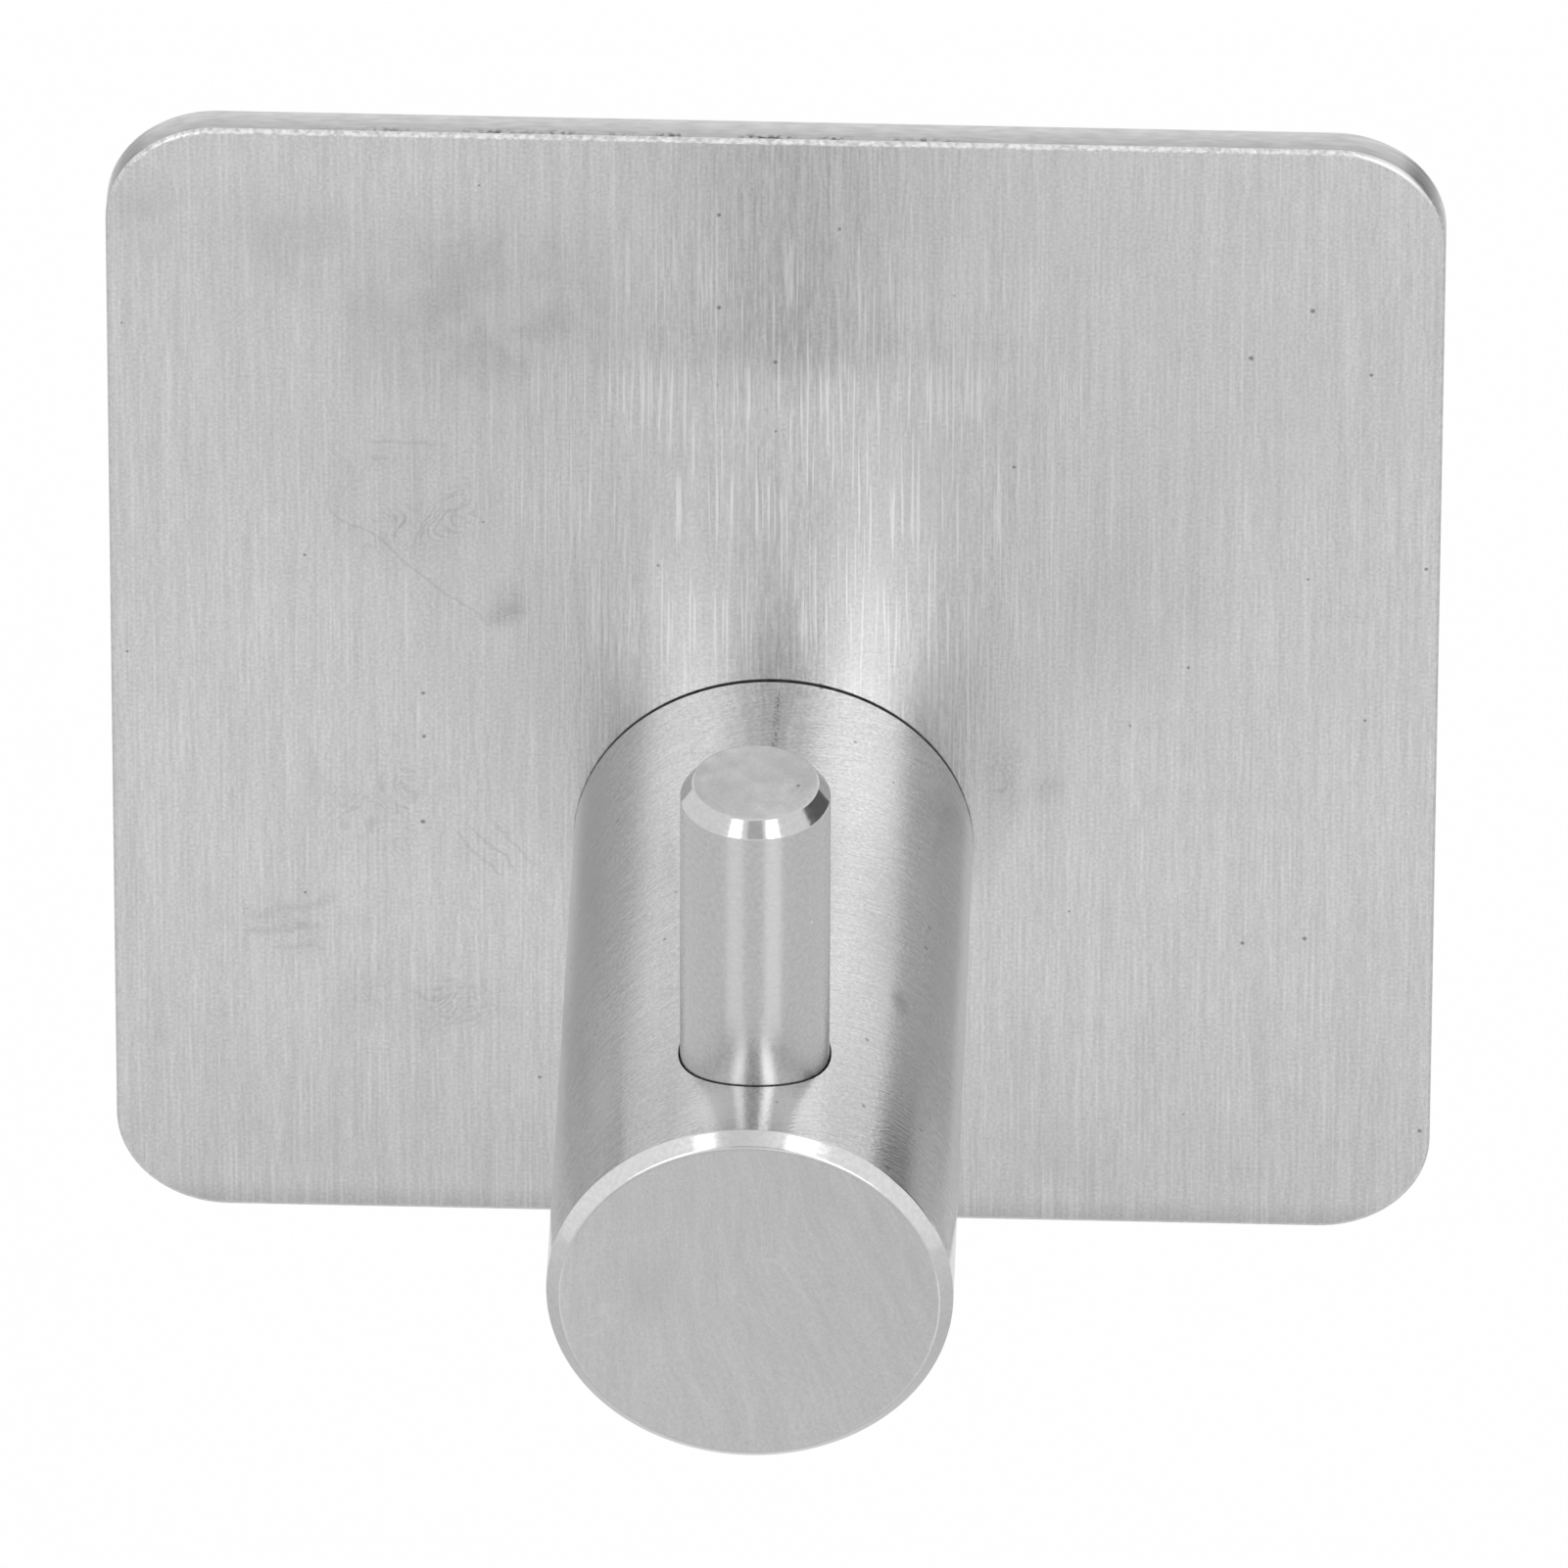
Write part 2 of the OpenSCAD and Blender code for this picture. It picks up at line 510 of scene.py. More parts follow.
def makeHairLines():
    # The vector is in mm
    tree, given, out = openGroup("hairLines", ["Mask"], {"Width": 0.01})
    values = {"Vector": given["Vector"], "Scale": 0.35, "Detail": 1.5, "Distortion": 0.4}
    curve = addNode(tree, "TexNoise", values).outputs[0]
    away = work(tree, "ABSOLUTE", work(tree, "SUBTRACT", curve, 0.5))
    line = work(tree, "SUBTRACT", 1.0, work(tree, "DIVIDE", away, given["Width"]), clamp=True)
    where = noise(tree, scaled(tree, given["Vector"], shift=(7, 3, 5)), scale=0.5, detail=2.0)
    fillInputs(tree, out, {"Mask": times(tree, line, remap(tree, where, 0.55, 0.68))})
    return tree


brushGrain = makeBrushGrain()
satinGrain = makeSatinGrain()
pinSpecks = makePinSpecks()
softSpot = makeSoftSpot()
greaseAndShade = makeGreaseAndShade()
scratchLine = makeScratchLine()
hairLines = makeHairLines()
print("shared effects ready")


# Material helpers
def inMillimetres(tree):
    place = addNode(tree, "TexCoord", {}).outputs["Object"]
    return scaled(tree, place, 1 / mm, 1 / mm, 1 / mm)


def mapPlace(tree):
    # The grain map in mm
    return scaled(tree, addNode(tree, "UVMap", {}, uv_map="grainMap").outputs["UV"], 1 / mm, 1 / mm)


def mapTangent(tree):
    return addNode(tree, "Tangent", {}, direction_type="UV_MAP", uv_map="grainMap").outputs[0]


def bumpNormal(tree, height, micron):
    return addNode(tree, "Bump", {"Distance": micron * mm * mm, "Height": height}).outputs["Normal"]


def toned(tree, steel, parts):
    # Each part is a value about a half, with the share by which it lightens or darkens the steel
    level = steel
    for value, share in parts:
        change = work(tree, "MULTIPLY_ADD", work(tree, "SUBTRACT", value, 0.5), share, 1.0)
        level = times(tree, change, level)
    return addNode(tree, "CombineColor", {"Red": level, "Green": level, "Blue": level}).outputs[0]


def stained(tree, colour, mask, share, steel):
    return mixColour(tree, work(tree, "MULTIPLY", mask, share, clamp=True), colour, grey(steel))


def aboutSpot(tree, place, middle, reach):
    # Middle and reach are in mm, and an axis without a reach doesn't count
    scale = [1 / far if far else 0 for far in reach]
    shift = [-at * by for at, by in zip(middle, scale)] + [0] * (3 - len(reach))
    return scaled(tree, place, *scale, shift=shift)


def spotMask(tree, place, middle, reach):
    return placeGroup(tree, softSpot, aboutSpot(tree, place, middle, reach))["Mask"]


def scratchMask(tree, place, start, end, width):
    run = Vector(end) - Vector(start)
    moved = scaled(tree, place, shift=(-start[0], -start[1], 0))
    turned = scaled(tree, moved, turn=-atan2(run.y, run.x))
    return placeGroup(tree, scratchLine, scaled(tree, turned, 1 / run.length), {"Width": width})["Mask"]


def brushedParts(tree, finish, place, strokes):
    # Brushing, broad bands and fine grain, to be toned
    grain = placeGroup(tree, brushGrain, scaled(tree, strokes, *finish["lines"]))
    satin = placeGroup(tree, satinGrain, place, {"Grains": finish["grains"]})["Tone"]
    shares = finish["lineShare"], finish["bandShare"], finish["grainShare"]
    return grain, satin, list(zip((grain["Lines"], grain["Bands"], satin), shares))


def haired(tree, colour, place, finish):
    hairs = placeGroup(tree, hairLines, place, {"Width": finish["hairWidth"]})["Mask"]
    return stained(tree, colour, hairs, finish["hairShare"], finish["hairSteel"])


def specked(tree, colour, place, finish):
    specks = placeGroup(tree, pinSpecks, place, finish["specks"])["Mask"]
    return stained(tree, colour, specks, finish["speckShare"], finish["speckSteel"])


def finishSteel(tree, shader, finish, colour, grain, height=None, grease=0.0, **more):
    # The grain gives the roughness, between two ends, and grease adds to it
    rough = work(tree, "ADD", remap(tree, grain, 0, 1, *finish["roughness"]), grease)
    values = {"Base Color": colour, "Roughness": rough, "Metallic": 1.0, **more}
    if height is not None:
        values["Normal"] = bumpNormal(tree, height, finish["depth"])
    if "anisotropy" in finish:
        values["Anisotropic"] = finish["anisotropy"]
        values["Tangent"] = mapTangent(tree)
    fillInputs(tree, shader, values)


# Steel of the plate
plateFinish = {
    "steel": 0.6,
    "lines": (8.0, 0.34),  # per mm across, strokes per mm along
    "lineShare": 0.1,
    "bandShare": 0.08,
    "grains": 8.5,  # per mm
    "grainShare": 0.16,
    "roughness": (0.17, 0.21),
    "anisotropy": 1.0,
    "depth": 1.8,  # micron
    "scoreGlintSteel": 0.9,
    "scoreGlintShare": 0.55,
    "scoreGlints": ((0.5, 9.0), (12.0, 15.0)),  # middle and reach, mm, the scores are real but their glint is painted, thickest above the post
    "scoreGlintFade": (0.2, 1.0, 1.0, 0.25),  # from and to as shares of the reach, strengths there
    "markSteel": 0.3,
    "markShare": 0.3,
    "markRoughness": 0.05,
    "marks": [  # middle and reach, mm across and up, then strength of the cloud and of the skin lines; hand marks, but the last two are a painted reflection and a painted shade
        ((-9.6, 15.4), (7.0, 6.4), 1.15, 0.3),
        ((-16.4, 18.0), (4.2, 3.6), 0.7, 0.2),
        ((-21.3, 18.9), (2.6, 2.8), 0.7, 0.0),
        ((-12.6, 7.4), (4.2, 3.8), 0.3, 1.05),
        ((-9.3, 3.1), (1.0, 1.3), 1.4, 0.6),
        ((-13.3, -5.4), (4.0, 3.8), 0.25, 1.05),
        ((-16.4, -10.7), (2.8, 2.2), 0.25, 0.8),
        ((-12.0, -13.6), (4.2, 3.0), 0.6, 1.0),
        ((7.9, -4.0), (1.2, 3.2), 0.55, 0.7),
        ((9.3, -4.0), (0.9, 1.6), 0.8, 0.5),
        ((12.6, 3.1), (4.5, 4.5), 0.4, 0.1),
        ((10.0, -19.9), (4.0, 3.0), 0.6, 0.1),
        # painted reflection: widens the dark smear of the post and peg right of the middle
        ((6.2, 11.5), (3.4, 9.5), 0.5, 0.0),
        # painted shade: darker over the lower part of the plate
        ((-4.0, -24.0), (36.0, 12.0), 0.5, 0.0),
    ],
    "scratches": [  # mm across and up at each end, mm of width, strength
        ((-15.1, 7.1), (-9.5, 2.3), 0.08, 0.26),
        ((-13.9, 9.9), (-11.1, 9.6), 0.12, 0.22),
        ((-17.9, -10.2), (-14.8, -9.2), 0.3, 0.2),
        ((-18.0, -10.9), (-15.3, -10.5), 0.26, 0.2),
        ((-17.0, -11.5), (-15.2, -11.6), 0.2, 0.18),
        ((-10.9, -6.4), (-9.2, -8.4), 0.09, 0.25),
        ((-10.3, -6.2), (-8.6, -8.2), 0.09, 0.25),
        ((-9.6, -6.1), (-8.0, -8.0), 0.09, 0.25),
    ],
    "scratchSteel": 0.3,
    "shake": (0.5, 0.9),  # hand marks waver, times per mm and by mm
    "specks": {"Density": 0.5, "Share": 0.08, "Size": 0.07},
    "speckShare": 0.85,
    "speckSteel": 0.12,
    # Painted shade, darker downwards and more so along the lower edge: mm of height from and to, share
    "paintedShades": [((-25, -7), 0.2), ((-22.45, -21.3), 0.36)],
}


def markMask(tree, place, marks):
    grease = placeGroup(tree, greaseAndShade, place)
    clouds = prints = 0.0
    for middle, reach, cloud, skin in marks:
        mask = spotMask(tree, place, middle, reach)
        clouds = work(tree, "MAXIMUM", times(tree, mask, cloud), clouds)
        prints = work(tree, "MAXIMUM", times(tree, mask, skin), prints)
    return work(tree, "MULTIPLY_ADD", prints, grease["Skin"], times(tree, clouds, grease["Cloud"]))


def shaken(tree, place, often, far):
    # The place, moved about a little so that drawn things don't come out ruler straight
    values = {"Vector": place, "Scale": often, "Detail": 2.0}
    push = addNode(tree, "TexNoise", values, noise_dimensions="2D").outputs["Color"]
    for operation, other in (("SUBTRACT", (0.5, 0.5, 0.5)), ("MULTIPLY", (far, far, 0)), ("ADD", place)):
        push = addNode(tree, "VectorMath", {0: push, 1: other}, operation=operation).outputs[0]
    return push


def makePlateSteel():
    finish = plateFinish
    material, tree, shader = newMaterial("plateSteel")
    place = mapPlace(tree)
    grain, satin, parts = brushedParts(tree, finish, place, place)
    up = axesOf(tree, place)["Y"]
    # Painted shade, darker downwards
    parts += [(ease(tree, up, *span, 0, 0.5), share) for span, share in finish["paintedShades"]]
    colour = toned(tree, finish["steel"], parts)
    # Painted glint: the scores are lightened, most of all above the post
    away = lengthOf(tree, aboutSpot(tree, place, *finish["scoreGlints"]))
    scoreGlints = times(tree, grain["Scores"], ease(tree, away, *finish["scoreGlintFade"]))
    colour = stained(tree, colour, scoreGlints, finish["scoreGlintShare"], finish["scoreGlintSteel"])
    drawn = shaken(tree, place, *finish["shake"])
    # Hand marks, with a painted reflection and a painted shade among them
    marks = markMask(tree, drawn, finish["marks"])
    colour = stained(tree, colour, marks, finish["markShare"], finish["markSteel"])
    for *line, share in finish["scratches"]:
        colour = stained(tree, colour, scratchMask(tree, drawn, *line), share, finish["scratchSteel"])
    colour = specked(tree, colour, place, finish)
    grease = times(tree, marks, finish["markRoughness"])
    finishSteel(tree, shader, finish, colour, grain["Lines"], grain["Lines"], grease)
    return material


rimFinish = {
    "top": (0.5, 0.84),  # steel along the top edge, between its nibs and on them, lighter than the sides as a painted highlight
    "side": (0.52, 0.62),
    "topFrom": (19.4, 21.4),  # mm of height over which the one turns into the other
    "nibs": 6.0,  # per mm
    "depth": 10,  # micron
    "roughness": (0.42, 0.3),
    "cornerHighlight": ((20.4, 0, 21.0), (2.6, 0, 2.6)),  # middle and reach, mm, a painted highlight on a corner, which is also smoother there
    "cornerHighlightShare": 1.2,
}


def makeRimSteel():
    finish = rimFinish
    material, tree, shader = newMaterial("rimSteel")
    place = inMillimetres(tree)
    nibs = remap(tree, noise(tree, place, finish["nibs"], detail=2.0), 0.32, 0.68)
    # Painted highlight on the corner, which also makes it smoother
    cornerHighlight = times(tree, spotMask(tree, place, *finish["cornerHighlight"]), finish["cornerHighlightShare"])
    nibs = work(tree, "MAXIMUM", nibs, cornerHighlight, clamp=True)
    # Painted highlight: the top edge is lighter than the side edges
    atTop = ease(tree, axesOf(tree, place)["Z"], *finish["topFrom"])
    side, top = (mixColour(tree, nibs, *map(grey, finish[end])) for end in ("side", "top"))
    finishSteel(tree, shader, finish, mixColour(tree, atTop, side, top), nibs, nibs)
    return material


edgeFinish = {
    "steel": (0.62, 0.45),  # lighter at the back and darker next to the rim, a painted shade
    "span": (-1.3, -2.15),  # mm, where along Y those are
    "streaks": (1.2, 6.0),  # per mm along the edge and across it
    "streakShare": 0.16,
    "depth": 5,  # micron
    "roughness": (0.4, 0.3),
    "grime": (4.5, 3.5),  # per mm along the edge and across it
    "grimeShare": 0.9,
    "grimeSteel": 0.05,
    "grimeSpan": (-2.17, -1.8),  # mm, it keeps next to the rim
    "crowds": 0.55,  # per mm along the edge
    "crowdFrom": (-16, -11),  # mm, the crowds begin and end along the top edge
    "crowdTo": (4, 8),
}


def makeEdgeSteel():
    finish = edgeFinish
    material, tree, shader = newMaterial("edgeSteel")
    axes = axesOf(tree, inMillimetres(tree))
    # Along the edge, on all four sides, and across it
    values = {"X": work(tree, "ADD", axes["X"], axes["Z"]), "Y": axes["Y"]}
    place = addNode(tree, "CombineXYZ", values).outputs[0]
    streaks = remap(tree, flatNoise(tree, place, *finish["streaks"], detail=3.0), 0.3, 0.7)
    # Painted shade: the edge darkens from the back towards the rim
    steel = remap(tree, axes["Y"], *finish["span"], *finish["steel"])
    colour = toned(tree, steel, [(streaks, finish["streakShare"])])
    blots = flatNoise(tree, place, *finish["grime"], detail=3.0, shift=(4, 1, 0))
    crowds = flatNoise(tree, place, finish["crowds"], 0, detail=1.0, shift=(2.3, 5, 0))
    grime = times(
        tree, remap(tree, blots, 0.46, 0.56), remap(tree, crowds, 0.44, 0.6),
        remap(tree, axes["X"], *finish["crowdFrom"]), remap(tree, axes["X"], *finish["crowdTo"], 1, 0),
        ease(tree, axes["Y"], *finish["grimeSpan"], 1, 0))
    colour = stained(tree, colour, grime, finish["grimeShare"], finish["grimeSteel"])
    finishSteel(tree, shader, finish, colour, streaks, streaks)
    return material


# Steel of the post
postFinish = {
    "steel": 0.6,
    "lines": (9.0, 1.7),  # per mm along the post, strokes per mm round it
    "slant": 16,  # degrees between the strokes and the way round
    "lineShare": 0.2,
    "bandShare": 0.05,
    "grains": 8.5,  # per mm
    "grainShare": 0.18,
    "roughness": (0.16, 0.21),
    "anisotropy": 0.89,
    "depth": 3.0,  # micron
    # Painted light and shade in zones: mm round from the top where one begins and ends, mm along the post,
    # share lighter or darker
    "paintedLightZones": [
        ([(4.0, 6.0, 1, 0)], (5, 10, 1, 0), 0.18),  # painted highlight on the crown next to the plate
        ([(3.5, 6.5, 0, 1)], (17, 22, 1, 0), -0.2),  # painted shade on the flanks behind
        ([(2.0, 2.8, 0, 1), (4.2, 5.6, 1, 0)], (15, 25, 0, 1), -0.36),  # painted shade on the shoulders before
    ],
    "rubbedSheen": [((23.9, 1.1), (2.3, 1.2)), ((23.9, -1.1), (2.3, 1.2))],  # middle and reach, mm, before the peg, rub marks with a painted sheen
    "rubbedSheenSteel": 0.85,
    "rubbedSheenShare": 0.85,
    "smudge": ((15.6, -5.2), (0.9, 0.6)),  # middle and reach, mm along the post and round it
    "pits": ((0.4, -0.2), (6.6, -0.05), 0.17),  # a row of them behind the peg, from, to and width
    "pitGrains": (0.52, 0.64, 0, 2),  # which grains are pits, and how deep
    "stainSteel": 0.2,
    "stainShare": 0.4,
    "hairWidth": 0.012,
    "hairShare": 0.3,
    "hairSteel": 0.34,
    "specks": {"Density": 0.8, "Share": 0.1, "Size": 0.07},
    "speckShare": 0.8,
    "speckSteel": 0.15,
}


def makePostSteel():
    finish = postFinish
    material, tree, shader = newMaterial("postSteel")
    place = mapPlace(tree)
    slanted = scaled(tree, place, turn=radians(finish["slant"]))
    grain, satin, parts = brushedParts(tree, finish, place, slanted)
    axes = axesOf(tree, place)
    side = work(tree, "ABSOLUTE", axes["Y"])
    # Painted light and shade on the post's crown, flanks and shoulders
    for spans, run, share in finish["paintedLightZones"]:
        paintedLight = times(tree, *(ease(tree, side, *span) for span in spans), ease(tree, axes["X"], *run))
        parts.append((work(tree, "MULTIPLY_ADD", paintedLight, 0.5, 0.5), share))
    colour = toned(tree, finish["steel"], parts)
    # Rub marks before the peg, lightened as a painted sheen
    for spot in finish["rubbedSheen"]:
        rubbedSheen = spotMask(tree, place, *spot)
        colour = stained(tree, colour, rubbedSheen, finish["rubbedSheenShare"], finish["rubbedSheenSteel"])
    colour = haired(tree, colour, place, finish)
    pits = times(tree, scratchMask(tree, place, *finish["pits"]), remap(tree, satin, *finish["pitGrains"]))
    stains = work(tree, "MAXIMUM", spotMask(tree, place, *finish["smudge"]), pits)
    colour = stained(tree, colour, stains, finish["stainShare"], finish["stainSteel"])
    colour = specked(tree, colour, place, finish)
    finishSteel(tree, shader, finish, colour, grain["Lines"], grain["Lines"])
    return material


faceFinish = {
    "steel": 0.525,
    "fanFrom": (-5.5, 28.0),  # mm across and up from the post's axis, the strokes fan out from there
    "lines": (8.5, 1.1),  # per mm across, strokes per mm along
    "lineShare": 0.06,
    "bandShare": 0.07,
    "grains": 8.5,  # per mm
    "grainShare": 0.08,
    "cloud": ((2.1, -27.6), (2.6, 2.2)),  # middle and reach, mm across and along the strokes
    "cloudShare": 0.16,
    "cloudSteel": 0.35,
    "roughness": (0.24, 0.3),
    "anisotropy": 0.9,
    "depth": 1.2,  # micron
    "hairWidth": 0.01,
    "hairShare": 0.25,
    "hairSteel": 0.7,
}


def makeFaceSteel():
    finish = faceFinish
    material, tree, shader = newMaterial("faceSteel")
    place = mapPlace(tree)
    grain, satin, parts = brushedParts(tree, finish, place, place)
    colour = toned(tree, finish["steel"], parts)
    cloud = spotMask(tree, place, *finish["cloud"])
    colour = stained(tree, colour, cloud, finish["cloudShare"], finish["cloudSteel"])
    finishSteel(tree, shader, finish, haired(tree, colour, place, finish), grain["Lines"], grain["Lines"])
    return material


chamferFinish = {
    "post": (0.5, 0.68),  # steel low and high on the post, a painted shade darker low down
    "peg": (0.58, 0.58),
    "span": (-9.0, -2.0),  # mm of height over which it turns
    "nibs": 6.0,  # per mm
    "nibShare": 0.12,
    "depth": 0.6,  # micron
    "roughness": (0.09, 0.14),
    "gapReflection": ((-0.4, 0, 0), (1.6, 0, 1.5)),  # middle and reach, mm, a painted dark reflection at the top of the post's chamfer
    "gapReflectionSteel": 0.3,
    "gapReflectionShare": 0.35,
}


def makeChamferSteel(name, steel):
    # Chamfers are cut with a fine tool and stay bright; on the post a painted shade darkens the chamfer low
    # down, and a painted dark reflection dulls its top
    finish = chamferFinish
    material, tree, shader = newMaterial(name)
    place = inMillimetres(tree)
    nibs = remap(tree, noise(tree, place, finish["nibs"], detail=3.0), 0.3, 0.7)
    # Painted shade: the post's chamfer is darker low down than high up
    level = ease(tree, axesOf(tree, place)["Z"], *finish["span"], *steel)
    colour = toned(tree, level, [(nibs, finish["nibShare"])])
    # Painted dark reflection at the top of the post's chamfer
    gapReflection = spotMask(tree, place, *finish["gapReflection"])
    colour = stained(tree, colour, gapReflection, finish["gapReflectionShare"], finish["gapReflectionSteel"])
    finishSteel(tree, shader, finish, colour, nibs, nibs)
    return material


# Steel of the peg
pegFinish = {
    "steel": 0.53,
    "lines": (4.8, 1.6),  # per mm along the peg, strokes per mm round it
    "lineShare": 0.04,
    "bandShare": 0.0,
    "grains": 5.5,  # per mm
    "grainShare": 0.11,
    "roughness": (0.255, 0.305),
    "anisotropy": 0.55,
    "specks": {"Density": 0.6, "Share": 0.2, "Size": 0.06},
    "speckShare": 0.8,
    "speckSteel": 0.85,
}


def makePegSteel():
    finish = pegFinish
    material, tree, shader = newMaterial("pegSteel")
    place = mapPlace(tree)
    grain, satin, parts = brushedParts(tree, finish, place, place)
    colour = specked(tree, toned(tree, finish["steel"], parts), place, finish)
    finishSteel(tree, shader, finish, colour, satin)
    return material


turnedFinish = {
    "steel": 0.545,
    "rings": 9.0,  # per mm out from the middle
    "ringShare": 0.05,
    "clouds": 1.4,  # per mm
    "cloudShare": 0.24,
    "grainShare": 0.09,
    "paintedSheenShare": 0.14,  # painted sheen, the lighter fans before and behind the middle
    "paintedSheenSpan": (0.1, 1.5),  # mm out from the middle
    "roughness": (0.3, 0.38),
    "brushing": {"Anisotropic": 0.8, "Anisotropic Rotation": 0.25},
    "speck": ((1.43, -0.15), (0.1, 0.1)),  # middle and reach, mm
    "speckShare": 0.6,
    "speckSteel": 0.12,
}


def makeTurnedSteel():
    # The peg's top, faced on a lathe: the lines run round its middle
    finish = turnedFinish
    material, tree, shader = newMaterial("turnedSteel")
    place = mapPlace(tree)
    axes = axesOf(tree, place)
    out = lengthOf(tree, place)
    values = {"W": times(tree, out, finish["rings"]), "Scale": 1.0, "Detail": 2.0}
    rings = addNode(tree, "TexNoise", values, noise_dimensions="1D").outputs[0]
    cloud = remap(tree, noise(tree, place, finish["clouds"], detail=3.0), 0.3, 0.7)
    satin = placeGroup(tree, satinGrain, place)["Tone"]
    # Painted sheen: lighter fans in an hourglass before and behind the middle
    angle = work(tree, "MULTIPLY_ADD", cloud, 0.5, work(tree, "ARCTAN2", axes["X"], axes["Y"]))
    paintedFans = work(tree, "COSINE", times(tree, angle, 2.0))
    paintedFans = work(tree, "MULTIPLY_ADD", paintedFans, remap(tree, out, *finish["paintedSheenSpan"], 0, 0.5), 0.5)
    colour = toned(tree, finish["steel"], [
        (rings, finish["ringShare"]), (cloud, finish["cloudShare"]), (satin, finish["grainShare"]),
        (paintedFans, finish["paintedSheenShare"])])
    near = lengthOf(tree, aboutSpot(tree, place, *finish["speck"]))
    colour = stained(tree, colour, ease(tree, near, 0.5, 1, 1, 0), finish["speckShare"], finish["speckSteel"])
    tangent = addNode(tree, "Tangent", {}, direction_type="RADIAL", axis="Z").outputs[0]
    finishSteel(tree, shader, finish, colour, cloud, Tangent=tangent, **finish["brushing"])
    return material


# Steel that hardly shows
hiddenFinish = {
    "boreSteel": {
        "grains": (0.4, 0.4, 9.0),  # per mm
        "detail": 2.0,
        "colours": (grey(0.3), grey(0.45)),
        "roughness": (0.4, 0.55),
    },
    "jointShadeSteel": {  # the narrow groove round the post's foot, painted shade in the groove together with the dust and polish that gather there
        "grains": (2.5, 2.5, 2.5),
        "detail": 3.0,
        "colours": (grey(0.04), grey(0.16)),
        "roughness": (0.5, 0.7),
        "metal": 0.6,
    },
    "screwSteel": {
        "grains": (1.6, 1.6, 1.6),
        "detail": 4.0,
        "colours": ((0.5, 0.5, 0.53, 1), (0.66, 0.66, 0.68, 1)),
        "roughness": (0.26, 0.38),
    },
}


def makeHiddenSteel(name):
    finish = hiddenFinish[name]
    material, tree, shader = newMaterial(name)
    cloud = noise(tree, scaled(tree, inMillimetres(tree), *finish["grains"]), 1.0, finish["detail"])
    cloud = remap(tree, cloud, 0.3, 0.7)
    colour = mixColour(tree, cloud, *finish["colours"])
    finishSteel(tree, shader, finish, colour, cloud, Metallic=finish.get("metal", 1.0))
    return material


plateSteel = makePlateSteel()
rimSteel = makeRimSteel()
edgeSteel = makeEdgeSteel()
postSteel = makePostSteel()
faceSteel = makeFaceSteel()
postChamferSteel = makeChamferSteel("postChamferSteel", chamferFinish["post"])
pegChamferSteel = makeChamferSteel("pegChamferSteel", chamferFinish["peg"])
pegSteel = makePegSteel()
turnedSteel = makeTurnedSteel()
boreSteel, jointShadeSteel, screwSteel = (makeHiddenSteel(name) for name in hiddenFinish)
print("steel finishes ready")

# Pad materials
foamFinish = {
    "light": (0.86, 0.86, 0.84, 1),
    "dark": (0.7, 0.7, 0.68, 1),
    "pore": (0.5, 0.5, 0.48, 1),
    "clouds": 0.8,  # per mm
    "cells": 7.0,  # per mm
    "poreDepth": 40,  # micron
    "shader": {"Roughness": 0.85, "Subsurface Weight": 0.15, "Subsurface Scale": 0.3 * mm},
}
filmFinish = {
    "thin": (0.8, 0.79, 0.73, 1),
    "thick": (0.75, 0.735, 0.66, 1),
    "patches": 0.35,  # per mm
    "peel": 1.6,  # per mm
    "peelDepth": 14,  # micron
    "roughness": (0.16, 0.34),
    "shader": {"IOR": 1.47, "Coat Weight": 0.3, "Coat Roughness": 0.12},
}
linerFinish = {
    "light": (0.83, 0.77, 0.63, 1),
    "dark": (0.785, 0.72, 0.575, 1),
    "clouds": 0.25,  # per mm
    "fibres": (0.9, 1, 5.0),  # per mm along each axis
    "fibreShare": 0.6,
    "fibreDepth": 5,  # micron
    "roughness": (0.4, 0.55),
    "shader": {"Coat Weight": 0.15, "Coat Roughness": 0.25},
}


def makeFoam():
    finish = foamFinish
    material, tree, shader = newMaterial("padFoam")
    place = inMillimetres(tree)
    cells = addNode(tree, "TexVoronoi", {"Vector": place, "Scale": finish["cells"]}).outputs["Distance"]
    cloud = remap(tree, noise(tree, place, finish["clouds"], detail=3.0), 0.3, 0.7)
    pores = ease(tree, cells, 0.05, 0.3, 1, 0)
    colour = mixColour(tree, cloud, finish["dark"], finish["light"])
    fillInputs(tree, shader, {
        "Base Color": mixColour(tree, pores, colour, finish["pore"]),
        "Normal": bumpNormal(tree, cells, finish["poreDepth"]),
        **finish["shader"],
    })
    return material


def makeFilm():
    finish = filmFinish
    material, tree, shader = newMaterial("adhesiveFilm")
    place = inMillimetres(tree)
    patches = remap(tree, noise(tree, place, finish["patches"], detail=4.0), 0.32, 0.68)
    peel = noise(tree, place, finish["peel"], detail=3.0)
    fillInputs(tree, shader, {
        "Base Color": mixColour(tree, patches, finish["thin"], finish["thick"]),
        "Roughness": remap(tree, patches, 0, 1, *finish["roughness"]),
        "Normal": bumpNormal(tree, peel, finish["peelDepth"]),
        **finish["shader"],
    })
    return material


def makeLiner():
    finish = linerFinish
    material, tree, shader = newMaterial("linerPaper")
    place = inMillimetres(tree)
    fibres = noise(tree, scaled(tree, place, *finish["fibres"]), 1.0, detail=4.0)
    cloud = noise(tree, place, finish["clouds"], detail=3.0)
    tone = remap(tree, blended(tree, fibres, cloud, finish["fibreShare"]), 0.35, 0.65)
    fillInputs(tree, shader, {
        "Base Color": mixColour(tree, tone, finish["dark"], finish["light"]),
        "Roughness": remap(tree, cloud, 0.3, 0.7, *finish["roughness"]),
        "Normal": bumpNormal(tree, fibres, finish["fibreDepth"]),
        **finish["shader"],
    })
    return material


padFoam = makeFoam()
adhesiveFilm = makeFilm()
linerPaper = makeLiner()
print("pad materials ready")

